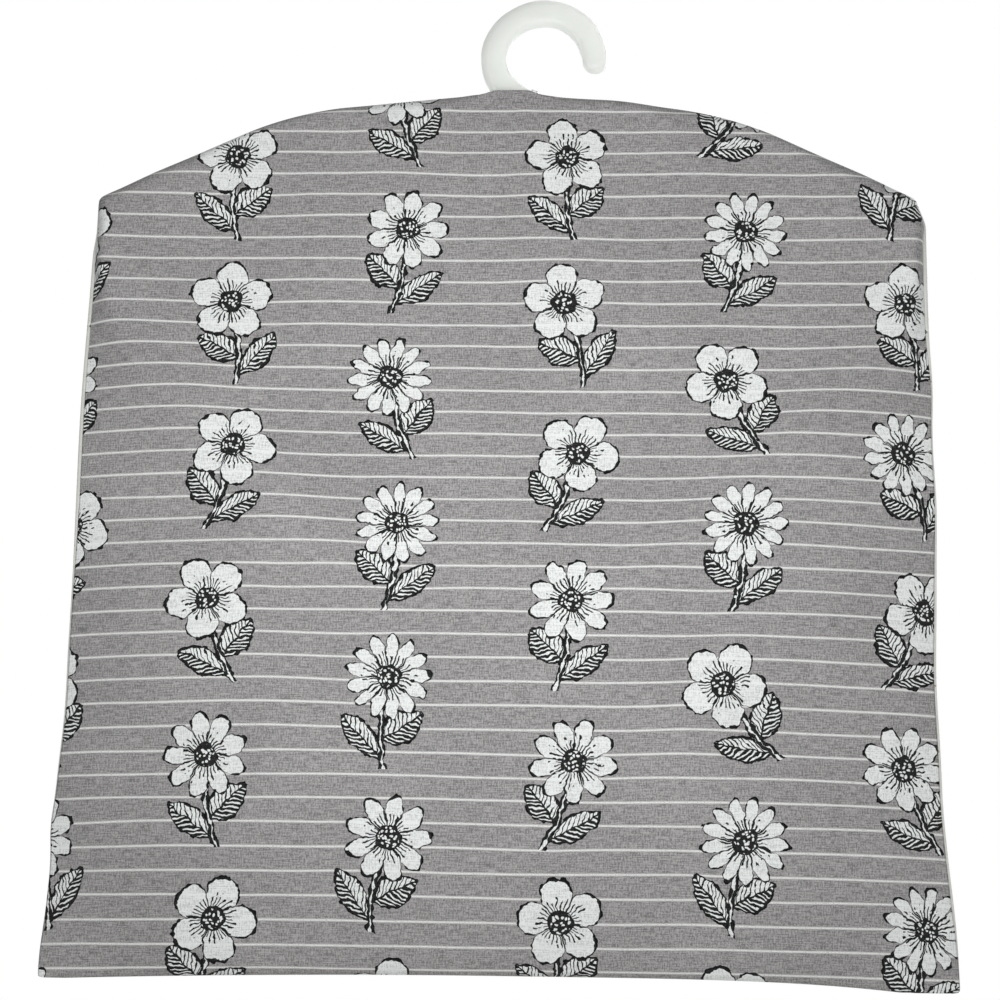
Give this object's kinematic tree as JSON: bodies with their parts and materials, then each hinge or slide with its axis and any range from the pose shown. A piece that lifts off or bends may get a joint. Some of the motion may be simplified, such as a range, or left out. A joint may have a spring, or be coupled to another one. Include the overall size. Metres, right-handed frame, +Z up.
{
  "type": "peg bag",
  "caption": "Flat cotton peg bag hung on a one-piece plastic hanger with an open hook, striped in front, with a scooped mouth in the back.",
  "frame": {"origin": "middle of the flat under the hook's crown, where a washing line or rail sits", "axes": "+Z up with the bag hanging, +X to the right seen from the striped front, +Y from the front to the mouth side"},
  "size_m": [0.318, 0.0327, 0.3695],
  "materials": {
    "hanger_plastic": "satin moulded polypropylene",
    "striped_cotton": "grey plain weave with thin white stripes",
    "calico": "off-white plain weave",
    "bias_tape": "grey folded cotton tape",
    "seam_thread": "spun polyester thread",
    "topstitch_thread": "spun polyester thread"
  },
  "bodies": {
    "hanger": {"hanger": "hanger_plastic"},
    "bag": {"front_panel": "striped_cotton", "back_yoke": "calico", "back_pocket": "calico", "yoke_binding": "bias_tape", "pocket_binding": "bias_tape", "left_side_seam_thread": "seam_thread", "right_side_seam_thread": "seam_thread", "bottom_seam_thread": "seam_thread", "left_shoulder_seam_thread": "seam_thread", "right_shoulder_seam_thread": "seam_thread", "yoke_binding_thread": "topstitch_thread", "pocket_binding_thread": "topstitch_thread"}
  },
  "joints": [
    {"name": "bag_lift", "type": "slide", "parent": "hanger", "child": "bag", "axis": [0, 0, 1], "range_m": [0, 0.009]}
  ]
}
